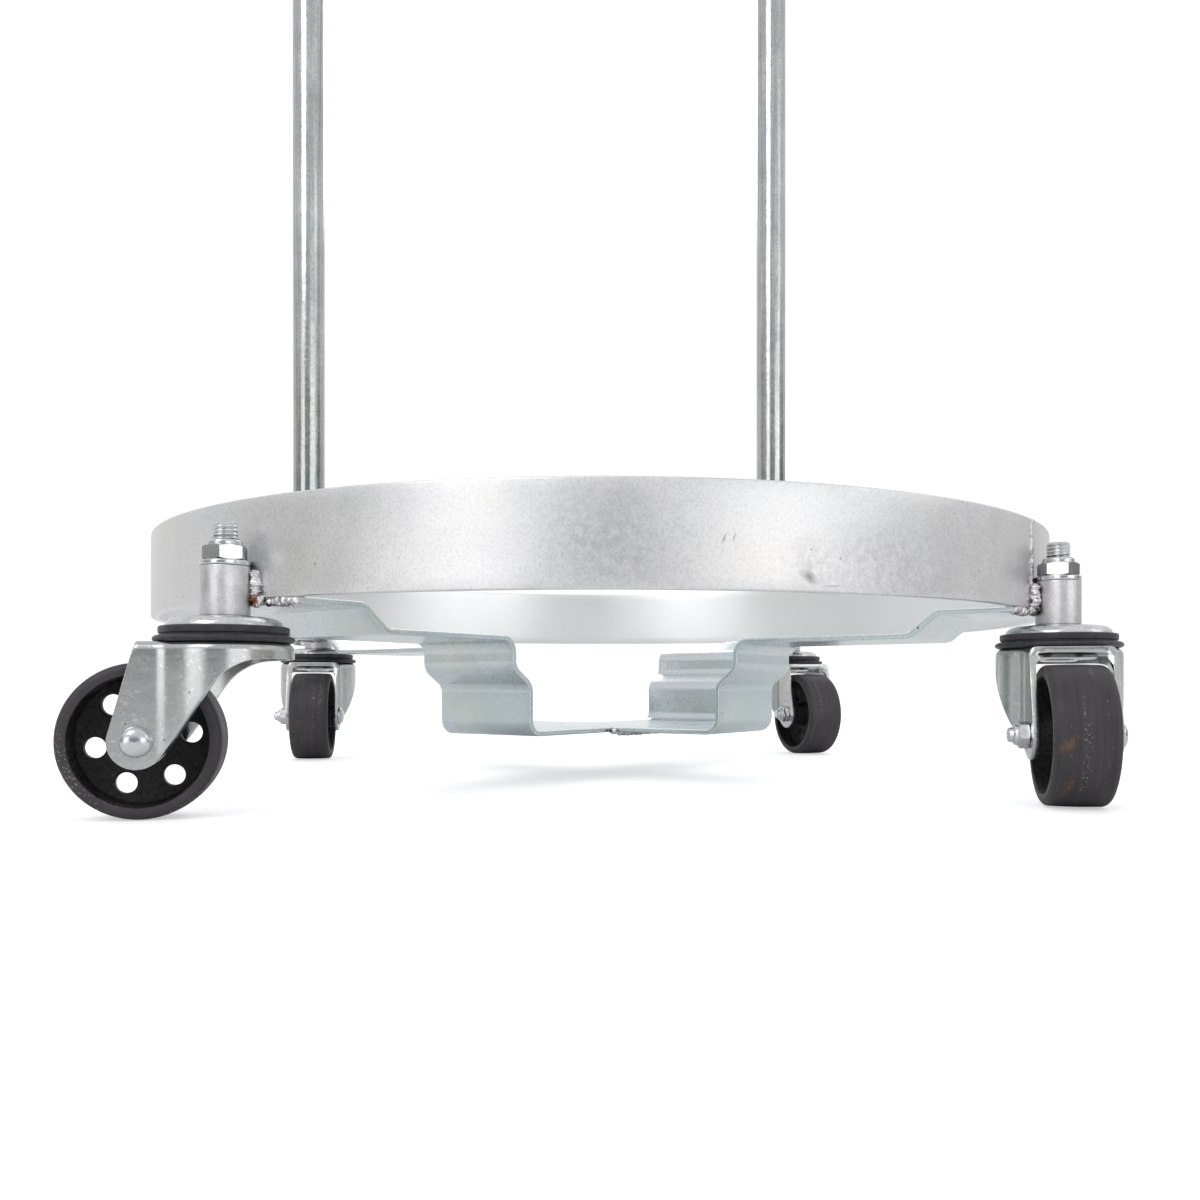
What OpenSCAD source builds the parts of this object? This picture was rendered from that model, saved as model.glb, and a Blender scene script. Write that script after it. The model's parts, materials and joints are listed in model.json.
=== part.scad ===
// Drum dolly: a flat-bar ring on two crossed, dropped straps, four swivel casters on
// threaded stems and a U-shaped push handle. Millimetres, +Z up, +Y towards the handle.
// The origin is on the ring's axis, level with the ring's bottom edge, where the drum sits.

/* [Ring] */
// Outside diameter of the ring
ring_od = 610; // [580:2:640]
// Height of the ring's flat bar
ring_h = 50.8; // [38:0.4:64]
// Thickness of the ring's flat bar
ring_wall = 5; // [4:0.5:8]

/* [Straps] */
// Width of the straps
strap_w = 76; // [60:2:90]
// Thickness of the straps
strap_t = 3.2; // [3:0.1:5]
// Depth of the pail recess below the ring's bottom edge
recess_depth = 71.8; // [66:0.2:76]
// Radius of the recess wall on the through strap
through_r = 124; // [118:1:128]
// Radius of the recess wall on the two strap halves
half_r = 118; // [112:1:122]

/* [Casters] */
// Distance from the ring's axis to each stem
stem_circle_r = 317; // [315.5:0.5:318]
// Stem thread diameter
stem_d = 12.7; // [12:0.1:12.8]
// Height of the stem's top above the ring's bottom edge
stem_top = 37; // [34:1:45]
// Wheel diameter
wheel_d = 75; // [70:0.5:76]
// Wheel tread width
wheel_w = 32; // [26:1:34]
// Distance that the axle trails behind the stem
trail = 37; // [34:1:38]
// Resting swivel angle of the front left caster
swivel_front_left = 184.4; // [0:0.1:360]
// Resting swivel angle of the front right caster
swivel_front_right = 248.3; // [0:0.1:360]
// Resting swivel angle of the rear left caster
swivel_rear_left = 268.7; // [0:0.1:360]
// Resting swivel angle of the rear right caster
swivel_rear_right = 279.2; // [0:0.1:360]

/* [Handle] */
// Outside diameter of the handle's tube
handle_od = 28.6; // [25:0.2:30]
// Wall thickness of the handle's tube
handle_wall = 2; // [1.5:0.5:3]
// Height at which the legs start to bend back
handle_bend_z = 640; // [400:10:700]
// Angle of the handle's grip end away from upright
handle_lean = 35; // [10:1:45]
// Straight part between the bend that leans back and the corner at the grip
handle_upper_l = 76; // [40:2:120]

/* [Hidden] */
$fn = 96;
eps = 0.5;
run_fit = 0.05;             // running fit, on the radius
gap = 0.3;                  // clearance between pieces that turn past each other

ring_r = ring_od / 2;
ring_ir = ring_r - ring_wall;

// Strap outline, from the ring to the middle: distance from the axis and height
shelf_in = 260;             // inner end of the flat that the drum's rim stands on
ledge_r = 244;              // foot of the short slope below it
ledge_z = -13;
step_in = -31.5;            // height at which the recess wall turns inwards
step_out = -42;             // height at which it turns down again
strap_end = ring_r - 3;
bend_r = 7;                 // inside radius of each bend
bend_steps = 6;

// Caster heights
boss_r = 12;
boss_z0 = -9.5;
boss_h = 25;
washer_t = 2.5;
nut_af = 19.05;
nut_h = 7.6;
collar_h = 2.9;
cap_r = 28;
cap_rim_z = -16;
seal_r = 30.75;
seal_lip_r = 33.35;
crown_z = -22.4;            // top of the fork's crown
fork_t = 3;
fork_w = 44;
crown_r = 33;
king_r = 8;
lower_race_r = 20.5;
lower_race_h = 3;
axle_z = -69.5;
axle_d = 8;
sleeve_d = 12;
leg_end_r = 13;
hub_r = 10;
hub_w = fork_w - 2 * fork_t - 2;
rim_t = 6.5;
tread_round = 3;
web_t = 6;
hole_r = 5;
hole_circle = 22;
wheel_turn = [51, 20, 35, 8];   // how far each wheel has rolled at rest
axle_nut_h = 8;
axle_head_r = 7.5;
axle_head_h = 4.5;

// Handle path
leg_x = [-235, 215];
leg_y = 249;
leg_foot = -5;
lean_r = 90;                // radius of the bend that leans the legs back
corner_r = 75;              // radius of the two corners at the grip

corner_angle = [225, 315, 135, 45];
swivel_angle = [swivel_front_left, swivel_front_right, swivel_rear_left, swivel_rear_right];
front_left = 0;
front_right = 1;
rear_left = 2;
rear_right = 3;

zinc = [0.74, 0.76, 0.77];
blue_zinc = [0.72, 0.75, 0.79];
bright_zinc = [0.80, 0.81, 0.80];
galvanised = [0.70, 0.72, 0.73];
weld_grey = [0.62, 0.61, 0.59];
black_rubber = [0.07, 0.07, 0.07];
wheel_grey = [0.20, 0.20, 0.20];
nylon_white = [0.86, 0.86, 0.82];

// ---- placing ----

// Frame of one stem: +X points away from the ring's axis
module at_stem(i) {
    rotate([0, 0, corner_angle[i]])
        translate([stem_circle_r, 0, 0])
            children();
}

module at_stems() {
    for (i = [0:3])
        at_stem(i) children();
}

// Frame of one caster: origin on the stem's axis, +X from the stem to the axle
module at_caster(i) {
    a = corner_angle[i];
    translate([stem_circle_r * cos(a), stem_circle_r * sin(a), 0])
        rotate([0, 0, swivel_angle[i]])
            children();
}

// Frame of one axle: +Y along the axle, towards the bolt's head
module at_axle(i) {
    at_caster(i)
        translate([trail, 0, axle_z])
            children();
}

module tube(r_out, r_in, h) {
    difference() {
        cylinder(r = r_out, h = h);
        translate([0, 0, -eps]) cylinder(r = r_in, h = h + 2 * eps);
    }
}

// Cylinder along +Y with its base at y
module y_rod(r, y, h) {
    translate([0, y, 0])
        rotate([-90, 0, 0])
            cylinder(r = r, h = h);
}

// Weld bead: a round bar between two points, with round ends
module bead(a, b, r) {
    d = b - a;
    l = norm(d);
    translate(a)
        rotate([0, acos(d[2] / l), atan2(d[1], d[0])]) {
            cylinder(r = r, h = l, $fn = 24);
            sphere(r = r, $fn = 24);
            translate([0, 0, l]) sphere(r = r, $fn = 24);
        }
}

// ---- ring and straps ----

module ring_band() {
    color(zinc) tube(ring_r, ring_ir, ring_h);
}

// Butt weld that closes the ring, above the front right boss's own weld
module ring_seam_weld() {
    seam_z = 16;
    color(weld_grey)
        rotate([0, 0, -46.9])
            translate([ring_r - 0.6, 0, seam_z])
                cylinder(r = 1.6, h = ring_h - 1.5 - seam_z, $fn = 24);
}

// Unit vector from a to b
function unit(a, b) = (b - a) / norm(b - a);
function turn(u, v) = u[0] * v[1] - u[1] * v[0];

// Points of the bend at b on the way from a to c, where r is the bend's radius on the path
function bend(a, b, c, r) =
    let (u = unit(a, b), v = unit(b, c), s = sign(turn(u, v)), angle = acos(u * v),
         start = b - u * r * tan(angle / 2), side = s * [-u[1], u[0]], mid = start + side * r)
    [for (k = [0:bend_steps]) let (w = angle * k / bend_steps)
        mid - side * r * cos(w) + u * r * sin(w)];

// Top line of a strap from its end to the middle, for a recess wall of radius r
function strap_stations(r, step) = [
    [strap_end, 0], [shelf_in, 0], [ledge_r, ledge_z], [r + step, ledge_z],
    [r + step, step_in], [r, step_out], [r, -recess_depth], [0, -recess_depth]
];
// Going inwards, a bend to the left turns down and needs the larger radius on top
function top_radius(a, b, c) = turn(unit(a, b), unit(b, c)) > 0 ? bend_r + strap_t : bend_r;
function strap_top(p) = [
    p[0],
    for (k = [1:len(p) - 2]) each bend(p[k - 1], p[k], p[k + 1], top_radius(p[k - 1], p[k], p[k + 1])),
    p[len(p) - 1]
];
// Normal of the path at point k, pointing to the strap's underside
function under_normal(q, k) =
    let (u = k == 0 ? unit(q[0], q[1]) : unit(q[k - 1], q[k]),
         v = k == len(q) - 1 ? u : unit(q[k], q[k + 1]), m = (u + v) / norm(u + v))
    [-m[1], m[0]] / (m * v);
function strap_section(p, inner) =
    let (q = strap_top(p), last = len(q) - 1,
         under = [for (k = [0:last]) q[k] + under_normal(q, k) * strap_t])
    concat([for (k = [0:last - 1]) q[k]], [[inner, -recess_depth], [inner, -recess_depth - strap_t]],
           [for (k = [last - 1:-1:0]) under[k]]);

module strap_arm(r, step, inner) {
    rotate([90, 0, 0])
        linear_extrude(height = strap_w, center = true)
            polygon(strap_section(strap_stations(r, step), inner));
}

module through_strap() {
    color(blue_zinc) {
        rotate([0, 0, 45]) strap_arm(through_r, 16, 0);
        rotate([0, 0, 225]) strap_arm(through_r, 16, 0);
    }
}

// A half strap runs from the ring to the through strap's edge
module half_strap(angle) {
    color(blue_zinc)
        rotate([0, 0, angle]) strap_arm(half_r, 13, strap_w / 2);
}

module front_right_strap() {
    half_strap(corner_angle[front_right]);
}

module rear_left_strap() {
    half_strap(corner_angle[rear_left]);
}

// Beads under the two butt joints in the middle, and a lump at each joint's end. They stay
// below the floor's top, where the pail stands.
module crossing_welds() {
    half = strap_w / 2;
    lump_r = 2.2;
    z_under = -recess_depth - strap_t - 0.4;
    z_lump = -recess_depth - lump_r;
    color(weld_grey)
        for (a = [135, 315])
            rotate([0, 0, a]) {
                bead([half, -half + 8, z_under], [half, half - 8, z_under], 2.4);
                for (s = [-1, 1])
                    bead([half + 0.8, s * (half + 0.8), z_lump], [half + 3, s * (half + 3), z_lump], lump_r);
            }
}

// Beads that hold the straps' ends to the ring's bottom edge
module strap_end_welds() {
    x = strap_end - stem_circle_r;
    r = 2.2;
    color(weld_grey)
        at_stems()
            for (s = [-1, 1])
                bead([x + 1.2, s * 17, -r], [x, s * 35, -r], r);
}

module stem_bosses() {
    color(zinc)
        at_stems()
            translate([0, 0, boss_z0])
                tube(boss_r, stem_d / 2 + 0.1, boss_h);
}

// Upright beads in the corners between each boss and the ring
module boss_welds() {
    x = ring_r - stem_circle_r + 1.7;
    color(weld_grey)
        at_stems()
            for (s = [-1, 1])
                bead([x, s * 8.6, 0.5], [x, s * 8.6, boss_z0 + boss_h - 5.5], 3.1);
}

// ---- handle ----

module handle_section() {
    difference() {
        circle(r = handle_od / 2);
        circle(r = handle_od / 2 - handle_wall);
    }
}

// Bend of radius r that starts at +r on X, going up in Z, and turns towards -X
module handle_bend(r, angle) {
    rotate([90, 0, 0])
        rotate_extrude(angle = angle)
            translate([r, 0]) handle_section();
}

// Upright leg that leans back at its top, above the drum
module handle_leg(x) {
    color(galvanised)
        translate([x, leg_y, 0]) {
            translate([0, 0, leg_foot])
                linear_extrude(height = handle_bend_z - leg_foot) handle_section();
            translate([0, lean_r, handle_bend_z])
                rotate([0, 0, -90]) handle_bend(lean_r, handle_lean);
        }
}

module handle_left_leg() {
    handle_leg(leg_x[0]);
}

module handle_right_leg() {
    handle_leg(leg_x[1]);
}

// Leaning end of the handle: a bar with its two corners, which meets the legs' tops
module handle_grip() {
    half_span = (leg_x[1] - leg_x[0]) / 2;
    grip_half = half_span - corner_r;
    color(galvanised)
        translate([(leg_x[0] + leg_x[1]) / 2, leg_y + lean_r, handle_bend_z])
            rotate([-handle_lean, 0, 0])
                translate([0, -lean_r, 0]) {
                    for (turned = [0, 180])
                        rotate([0, 0, turned]) {
                            translate([half_span, 0, 0])
                                linear_extrude(height = handle_upper_l) handle_section();
                            translate([grip_half, 0, handle_upper_l]) handle_bend(corner_r, 90);
                        }
                    translate([-grip_half, 0, handle_upper_l + corner_r])
                        rotate([0, 90, 0])
                            linear_extrude(height = 2 * grip_half) handle_section();
                }
}

// Two upright beads between each leg and the boss in front of it
module handle_welds() {
    color(weld_grey)
        for (k = [0, 1]) {
            s = k == 0 ? -1 : 1;
            boss = [s * stem_circle_r * cos(45), stem_circle_r * sin(45)];
            leg = [leg_x[k], leg_y];
            u = unit(boss, leg);
            touch = boss + u * (boss_r + 0.4);
            for (side = [-1, 1]) {
                p = touch + side * 7 * [-u[1], u[0]];
                bead([p[0], p[1], -2], [p[0], p[1], 12.5], 3.4);
            }
        }
}

// ---- caster stems and their fastenings, fixed to the frame ----

// Threaded stem with the shouldered kingpin below it and a peened end
module caster_stems() {
    king_end = crown_z - fork_t - gap - lower_race_h;
    color(bright_zinc)
        at_stems() {
            translate([0, 0, boss_z0]) cylinder(r = stem_d / 2, h = stem_top - 1 - boss_z0);
            translate([0, 0, stem_top - 1]) cylinder(r1 = stem_d / 2, r2 = stem_d / 2 - 1, h = 1);
            translate([0, 0, king_end]) cylinder(r = king_r, h = boss_z0 - king_end);
            translate([0, 0, king_end - 1]) cylinder(r = king_r + 2, h = 1);
        }
}

module stem_washers() {
    color(bright_zinc)
        at_stems()
            translate([0, 0, boss_z0 + boss_h])
                tube(boss_r, stem_d / 2 + 0.2, washer_t);
}

// Hexagon with rounded corners at its top and a round collar that holds the insert
module lock_nut(af, h, bore_r) {
    across_corners_r = af / 2 / cos(30);
    difference() {
        union() {
            intersection() {
                cylinder(r = across_corners_r, h = h, $fn = 6);
                cylinder(r1 = across_corners_r + h * 1.6, r2 = af / 2 - 0.2, h = h + 0.6);
            }
            translate([0, 0, h]) cylinder(r = af / 2 - 0.9, h = collar_h - 1);
            translate([0, 0, h + collar_h - 1]) cylinder(r1 = af / 2 - 0.9, r2 = af / 2 - 1.9, h = 1);
        }
        translate([0, 0, -eps]) cylinder(r = bore_r, h = h + collar_h + 2 * eps);
        translate([0, 0, h]) cylinder(r = bore_r + 1.2, h = collar_h + eps);
    }
}

module stem_nuts() {
    color(bright_zinc)
        at_stems()
            translate([0, 0, boss_z0 + boss_h + washer_t])
                rotate([0, 0, 12]) lock_nut(nut_af, nut_h, stem_d / 2);
}

module nylon_inserts() {
    color(nylon_white)
        at_stems()
            translate([0, 0, boss_z0 + boss_h + washer_t + nut_h])
                tube(stem_d / 2 + 1.2, stem_d / 2, collar_h - 0.4);
}

// Domed cap above the bearing, pressed up against the boss
module race_caps() {
    dome = cap_r - 6;
    color(bright_zinc)
        at_stems()
            difference() {
                union() {
                    translate([0, 0, cap_rim_z]) cylinder(r = cap_r, h = 3.5);
                    translate([0, 0, cap_rim_z + 3.5]) cylinder(r1 = cap_r, r2 = dome, h = 2);
                    translate([0, 0, cap_rim_z + 5.5]) cylinder(r1 = dome, r2 = boss_r + 1, h = 1);
                }
                translate([0, 0, cap_rim_z - eps]) cylinder(r = king_r, h = 8);
            }
}

// Hardened ring that the crown turns against, inside the dust seal
module thrust_races() {
    h = cap_rim_z - crown_z - gap;
    color(bright_zinc)
        at_stems()
            translate([0, 0, crown_z + gap]) tube(lower_race_r, king_r, h);
}

module lower_races() {
    color(bright_zinc)
        at_stems()
            translate([0, 0, crown_z - fork_t - gap - lower_race_h])
                tube(lower_race_r, king_r, lower_race_h);
}

// ---- swivelling parts of one caster ----

// Outline of the crown from above: a disc round the stem and straight cheeks towards the axle
module fork_plan(r, w, x) {
    circle(r = r);
    translate([0, -w / 2]) square([x, w]);
}

// Outline of the fork from the side, on the stem's axis and at the ring's height
module fork_side() {
    translate([trail, axle_z]) circle(r = leg_end_r);
    polygon([
        [trail + 12.7, axle_z + 2.6], [trail + 0.5, crown_z], [-crown_r - 1, crown_z],
        [-crown_r - 1, crown_z - 8], [-20, crown_z - 8], [-13, crown_z - 9],
        [-6.5, crown_z - 12], [-1, crown_z - 16], [4, crown_z - 22.5],
        [trail - 10.2, axle_z - 8]
    ]);
}

module fork() {
    depth = crown_z - axle_z + leg_end_r;
    color(bright_zinc)
        difference() {
            intersection() {
                translate([0, 0, crown_z - depth])
                    linear_extrude(height = depth)
                        fork_plan(crown_r, fork_w, trail + leg_end_r);
                rotate([90, 0, 0])
                    linear_extrude(height = 2 * crown_r + 2, center = true)
                        fork_side();
            }
            translate([0, 0, crown_z - depth - eps])
                linear_extrude(height = depth - fork_t + eps)
                    fork_plan(crown_r - fork_t, fork_w - 2 * fork_t, trail + leg_end_r + eps);
            translate([0, 0, crown_z - fork_t - eps])
                cylinder(r = king_r + run_fit, h = fork_t + 2 * eps);
            translate([trail, 0, axle_z]) y_rod(axle_d / 2 + 0.1, -fork_w, 2 * fork_w);
        }
}

// Rubber ring on the crown that closes the bearing's gap, with a flared lip
module dust_seal() {
    inner_r = cap_r + gap + 0.1;
    color(black_rubber)
        rotate_extrude()
            polygon([
                [inner_r, crown_z], [seal_r, crown_z], [seal_lip_r, crown_z + 1.6],
                [seal_lip_r, crown_z + 2.2], [seal_r + 0.3, crown_z + 3.6], [seal_r, crown_z + 4],
                [seal_r, crown_z + 7.3], [seal_r - 0.6, crown_z + 7.9], [inner_r, crown_z + 7.9]
            ]);
}

// Bolt through the fork's legs, with a low domed head
module axle_bolt() {
    half = fork_w / 2;
    dome_r = (axle_head_r * axle_head_r + axle_head_h * axle_head_h) / (2 * axle_head_h);
    tip = 3;
    color(bright_zinc) {
        y_rod(axle_d / 2, -half - axle_nut_h - tip, fork_w + axle_nut_h + tip);
        intersection() {
            y_rod(axle_head_r, half, axle_head_h);
            translate([0, half + axle_head_h - dome_r, 0])
                rotate([-90, 0, 0]) sphere(r = dome_r);
        }
    }
}

module axle_nut() {
    af = 13;
    collar = 2.4;
    color(bright_zinc)
        difference() {
            rotate([0, 18, 0])
                translate([0, -fork_w / 2, 0])
                    rotate([90, 0, 0]) {
                        cylinder(r = af / 2 / cos(30), h = axle_nut_h - collar, $fn = 6);
                        translate([0, 0, axle_nut_h - collar]) cylinder(r = af / 2 - 0.6, h = collar - 0.8);
                        translate([0, 0, axle_nut_h - 0.8])
                            cylinder(r1 = af / 2 - 0.6, r2 = af / 2 - 1.4, h = 0.8);
                    }
            y_rod(axle_d / 2 + 0.02, -fork_w, fork_w);
        }
}

module axle_sleeve() {
    l = fork_w - 2 * fork_t;
    color(bright_zinc)
        difference() {
            y_rod(sleeve_d / 2, -l / 2, l);
            y_rod(axle_d / 2 + 0.1, -l, 2 * l);
        }
}

// Half section of the wheel: rim with rounded edges, thin web and hub
module wheel_section() {
    r = wheel_d / 2;
    half = wheel_w / 2;
    translate([r - rim_t, -half]) square([rim_t - tread_round, wheel_w]);
    translate([r - rim_t, -half + tread_round]) square([rim_t, wheel_w - 2 * tread_round]);
    for (s = [-1, 1])
        translate([r - tread_round, s * (half - tread_round)]) circle(r = tread_round, $fn = 32);
    translate([hub_r - 1, -web_t / 2]) square([r - rim_t - hub_r + 2, web_t]);
    translate([sleeve_d / 2 + run_fit, -hub_w / 2]) square([hub_r - sleeve_d / 2 - run_fit, hub_w]);
}

module wheel(i) {
    color(wheel_grey)
        rotate([-90, 0, 0])
            difference() {
                rotate_extrude() wheel_section();
                for (k = [0:5])
                    rotate([0, 0, 60 * k - wheel_turn[i]])
                        translate([hole_circle, 0, -web_t])
                            cylinder(r = hole_r, h = 2 * web_t);
            }
}

// ---- nodes ----

module fork_front_left() { at_caster(front_left) fork(); }
module fork_front_right() { at_caster(front_right) fork(); }
module fork_rear_left() { at_caster(rear_left) fork(); }
module fork_rear_right() { at_caster(rear_right) fork(); }

module dust_seal_front_left() { at_caster(front_left) dust_seal(); }
module dust_seal_front_right() { at_caster(front_right) dust_seal(); }
module dust_seal_rear_left() { at_caster(rear_left) dust_seal(); }
module dust_seal_rear_right() { at_caster(rear_right) dust_seal(); }

module axle_bolt_front_left() { at_axle(front_left) axle_bolt(); }
module axle_bolt_front_right() { at_axle(front_right) axle_bolt(); }
module axle_bolt_rear_left() { at_axle(rear_left) axle_bolt(); }
module axle_bolt_rear_right() { at_axle(rear_right) axle_bolt(); }

module axle_nut_front_left() { at_axle(front_left) axle_nut(); }
module axle_nut_front_right() { at_axle(front_right) axle_nut(); }
module axle_nut_rear_left() { at_axle(rear_left) axle_nut(); }
module axle_nut_rear_right() { at_axle(rear_right) axle_nut(); }

module axle_sleeve_front_left() { at_axle(front_left) axle_sleeve(); }
module axle_sleeve_front_right() { at_axle(front_right) axle_sleeve(); }
module axle_sleeve_rear_left() { at_axle(rear_left) axle_sleeve(); }
module axle_sleeve_rear_right() { at_axle(rear_right) axle_sleeve(); }

module wheel_front_left() { at_axle(front_left) wheel(front_left); }
module wheel_front_right() { at_axle(front_right) wheel(front_right); }
module wheel_rear_left() { at_axle(rear_left) wheel(rear_left); }
module wheel_rear_right() { at_axle(rear_right) wheel(rear_right); }

ring_band();
ring_seam_weld();
through_strap();
front_right_strap();
rear_left_strap();
crossing_welds();
strap_end_welds();
stem_bosses();
boss_welds();
handle_left_leg();
handle_right_leg();
handle_grip();
handle_welds();
caster_stems();
stem_washers();
stem_nuts();
nylon_inserts();
race_caps();
thrust_races();
lower_races();
fork_front_left();
fork_front_right();
fork_rear_left();
fork_rear_right();
dust_seal_front_left();
dust_seal_front_right();
dust_seal_rear_left();
dust_seal_rear_right();
axle_bolt_front_left();
axle_bolt_front_right();
axle_bolt_rear_left();
axle_bolt_rear_right();
axle_nut_front_left();
axle_nut_front_right();
axle_nut_rear_left();
axle_nut_rear_right();
axle_sleeve_front_left();
axle_sleeve_front_right();
axle_sleeve_rear_left();
axle_sleeve_rear_right();
wheel_front_left();
wheel_front_right();
wheel_rear_left();
wheel_rear_right();
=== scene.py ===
"""Visual model of the drum dolly: detailed steel, weld beads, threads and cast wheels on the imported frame."""

import json
import math
import random

import bmesh
import bpy
from mathutils import Matrix, Vector, noise


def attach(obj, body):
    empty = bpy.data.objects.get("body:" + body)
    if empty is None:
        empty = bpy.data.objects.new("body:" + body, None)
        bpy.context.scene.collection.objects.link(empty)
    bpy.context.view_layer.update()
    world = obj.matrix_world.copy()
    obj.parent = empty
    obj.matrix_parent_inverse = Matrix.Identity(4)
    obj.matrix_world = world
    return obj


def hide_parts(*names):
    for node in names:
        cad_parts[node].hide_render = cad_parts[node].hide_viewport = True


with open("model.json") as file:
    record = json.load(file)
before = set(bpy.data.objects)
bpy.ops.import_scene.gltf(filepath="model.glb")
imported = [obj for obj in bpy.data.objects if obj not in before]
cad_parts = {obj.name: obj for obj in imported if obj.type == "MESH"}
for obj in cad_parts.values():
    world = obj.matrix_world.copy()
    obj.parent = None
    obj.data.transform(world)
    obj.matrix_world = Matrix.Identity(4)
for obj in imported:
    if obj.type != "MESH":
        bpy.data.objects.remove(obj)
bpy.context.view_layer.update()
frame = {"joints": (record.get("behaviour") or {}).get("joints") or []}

MM = 0.001
rng = random.Random(20)

# ---- sizes in millimetres, as in the CAD model ----

RING_R = 305.0
RING_T = 5.0
RING_H = 50.8
SEAM_DEG = -46.9
STRAP_W = 76.0
STRAP_T = 3.2
STRAP_END = 302.0
SHELF_IN = 260.0            # inner end of the flat that the drum's rim stands on
LEDGE_R = 244.0
LEDGE_Z = -13.0
STEP_TOP = -31.5            # heights between which the recess wall steps inwards
STEP_FOOT = -42.0
THROUGH_R = 124.0           # radius of the recess wall on the through strap, and its step
THROUGH_STEP = 16.0
HALF_R = 118.0              # the same on the two half straps
HALF_STEP = 13.0
RECESS = 71.8
BEND_R = 7.0
STEM_CIRCLE = 317.0
STEM_R = 6.35
STEM_TOP = 37.0
THREAD_PITCH = 1.95
THREAD_DEPTH = 0.62
BOSS_R = 12.0
BOSS_Z = -9.5
BOSS_H = 25.0
WASHER_T = 2.5
NUT_AF = 19.05
NUT_H = 7.6
COLLAR_H = 2.9
CAP_R = 28.0
CAP_RIM_Z = -16.0
KING_R = 8.0
RACE_R = 20.5
RACE_H = 3.0
GAP = 0.3                   # clearance between pieces that turn past each other
CROWN_Z = -22.4
FORK_T = 3.0
FORK_HALF = 22.0
CROWN_R = 33.0
TRAIL = 37.0
AXLE_Z = -69.5
LEG_END_R = 13.0
LEG_TOP_X = TRAIL + 0.5     # the leg's rear edge slants from here down to the point below
LEG_SIDE = (TRAIL + 12.7, AXLE_Z + 2.6)
LEG_FRONT_X = TRAIL - 10.2
WHEEL_R = 37.5
WHEEL_HALF = 16.0
RIM_R = 31.4                # inner radius of the rim's machined face
HOLE_R = 5.0
HOLE_CIRCLE = 22.0
AXLE_R = 4.0
AXLE_NUT_AF = 13.0
SLEEVE_R = 6.0
FLOOR_Z = AXLE_Z - WHEEL_R
LEG_X = (-235.0, 215.0)
LEG_Y = 249.0
LEG_FOOT = -5.0
HANDLE_R = 14.3
HANDLE_T = 2.0
HANDLE_BEND_Z = 640.0
HANDLE_LEAN = math.radians(35)
LEAN_R = 90.0
CORNER_R = 75.0
HANDLE_UPPER = 76.0
STEM_ANGLE = {"front_left": 225, "front_right": 315, "rear_left": 135, "rear_right": 45}
CORNERS = list(STEM_ANGLE)
WHEEL_TURN = {"front_left": 51, "front_right": 20, "rear_left": 35, "rear_right": 8}


# ---- camera ----

def make_camera():
    """Low and close, nearly level; the small shift keeps uprights upright."""
    data = bpy.data.cameras.new("camera")
    data.lens = 31.45
    data.sensor_width = 36
    data.shift_y = 0.075
    data.clip_start = 0.02
    data.clip_end = 60
    cam = bpy.data.objects.new("camera", data)
    bpy.context.scene.collection.objects.link(cam)
    yaw, pitch = math.radians(9.34), math.radians(-0.19)
    cam.location = Vector((-125.7, -764.0, -43.7)) * MM
    aim = Vector((math.sin(yaw) * math.cos(pitch), math.cos(yaw) * math.cos(pitch), math.sin(pitch)))
    cam.rotation_mode = "QUATERNION"
    cam.rotation_quaternion = aim.to_track_quat("-Z", "Y")
    bpy.context.scene.camera = cam


make_camera()


# ---- material tools ----

class Nodes:
    """An emptied node tree, with short ways to add and join nodes."""

    def __init__(self, tree):
        self.tree = tree
        tree.nodes.clear()

    def node(self, kind):
        return self.tree.nodes.new(kind)

    def link(self, a, b):
        self.tree.links.new(a, b)

    def put(self, socket, value):
        """Gives a socket another node's output, a colour of three numbers, or one number."""
        if isinstance(value, bpy.types.NodeSocket):
            self.link(value, socket)
        elif isinstance(value, tuple):
            socket.default_value = (*value, 1.0)
        else:
            socket.default_value = value

    def ramp(self, fac, *stops):
        """Stops are (place, grey) or (place, colour)."""
        r = self.node("ShaderNodeValToRGB")
        self.put(r.inputs[0], fac)
        while len(r.color_ramp.elements) < len(stops):
            r.color_ramp.elements.new(0.5)
        for e, (at, c) in zip(r.color_ramp.elements, stops):
            e.position = at
            e.color = (*c, 1) if isinstance(c, tuple) else (c, c, c, 1)
        return r.outputs[0]

    def mix(self, fac, a, b):
        m = self.node("ShaderNodeMix")
        m.data_type = "RGBA"
        self.put(m.inputs[0], fac)
        self.put(m.inputs[6], a)
        self.put(m.inputs[7], b)
        return m.outputs[2]

    def calc(self, op, a, b):
        m = self.node("ShaderNodeMath")
        m.operation = op
        self.put(m.inputs[0], a)
        self.put(m.inputs[1], b)
        return m.outputs[0]


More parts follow.
